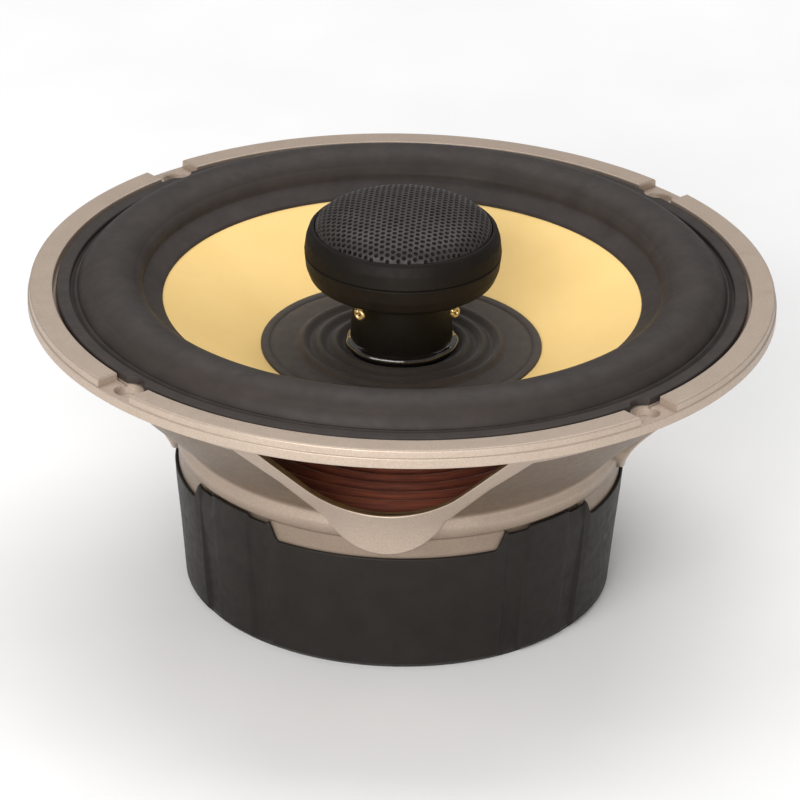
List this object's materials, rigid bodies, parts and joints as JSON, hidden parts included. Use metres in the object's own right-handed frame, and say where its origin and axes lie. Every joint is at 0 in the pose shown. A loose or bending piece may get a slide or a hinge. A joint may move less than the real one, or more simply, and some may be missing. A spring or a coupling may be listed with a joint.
{
  "type": "coaxial car speaker",
  "caption": "Round coaxial car loudspeaker: golden cone in a rubber surround and painted metal basket, with a domed tweeter on a fixed post and a rubber-booted magnet.",
  "frame": {"origin": "centre of the magnet boot's foot, on the surface the speaker stands on", "axes": "+Z along the speaker's axis towards the listener, -Y towards one of the basket's windows, +Y towards the terminals"},
  "size_m": [0.165, 0.165, 0.0898],
  "materials": {
    "basket_paint": "satin champagne paint",
    "rubber": "matte moulded rubber",
    "boot_rubber": "satin moulded rubber",
    "golden_aramid": "smooth matte golden aramid composite",
    "seal_cloth": "dark treated cloth",
    "spider_cloth": "red-brown treated cotton cloth",
    "former_film": "amber polyimide film",
    "copper": "enamelled copper wire",
    "plated_steel": "zinc-plated steel",
    "screw_steel": "zinc-plated screw steel",
    "ferrite": "sintered ferrite",
    "neodymium": "nickel-plated magnet",
    "black_plastic": "brown-black moulded plastic",
    "glue": "glossy black adhesive",
    "grille_steel": "black perforated steel",
    "silk": "coated silk",
    "brass": "gold-plated brass",
    "phenolic": "brown phenolic board",
    "sleeve": "blue shrink sleeve"
  },
  "bodies": {
    "frame": {"basket": "basket_paint", "surround_gasket": "rubber", "surround": "rubber", "dust_seal": "seal_cloth", "spider": "spider_cloth", "front_plate": "plated_steel", "magnet_ring": "ferrite", "yoke_and_pole": "plated_steel", "shorting_ring": "copper", "magnet_boot": "boot_rubber", "basket_screw_1": "screw_steel", "basket_screw_2": "screw_steel", "basket_screw_3": "screw_steel", "basket_screw_4": "screw_steel", "tweeter_post": "black_plastic", "post_glue_ring": "glue", "post_washer": "plated_steel", "post_screw": "screw_steel", "tweeter_cup": "black_plastic", "tweeter_bezel": "black_plastic", "tweeter_grille": "grille_steel", "tweeter_yoke": "plated_steel", "tweeter_magnet": "neodymium", "tweeter_front_plate": "plated_steel", "tweeter_face_ring": "black_plastic", "tweeter_surround": "silk", "tweeter_lug_left": "brass", "tweeter_lug_right": "brass", "terminal_board": "phenolic", "terminal_spacer": "black_plastic", "terminal_rivet": "screw_steel", "terminal_wide": "brass", "terminal_narrow": "brass", "crossover_capacitor": "sleeve", "capacitor_pad": "glue"},
    "cone": {"cone": "golden_aramid", "voice_coil_former": "former_film", "voice_coil_winding": "copper"},
    "tweeter_dome": {"tweeter_dome": "silk", "tweeter_coil": "copper"}
  },
  "joints": [
    {"name": "cone_travel", "type": "slide", "parent": "frame", "child": "cone", "axis": [0, 0, 1], "range_m": [-0.004, 0.004], "stiffness_N_per_m": 1200, "deforming": ["surround", "spider", "dust_seal"]},
    {"name": "tweeter_travel", "type": "slide", "parent": "frame", "child": "tweeter_dome", "axis": [0, 0, 1], "range_m": [-0.00025, 0.00025], "stiffness_N_per_m": 1500, "deforming": ["tweeter_surround"]}
  ]
}
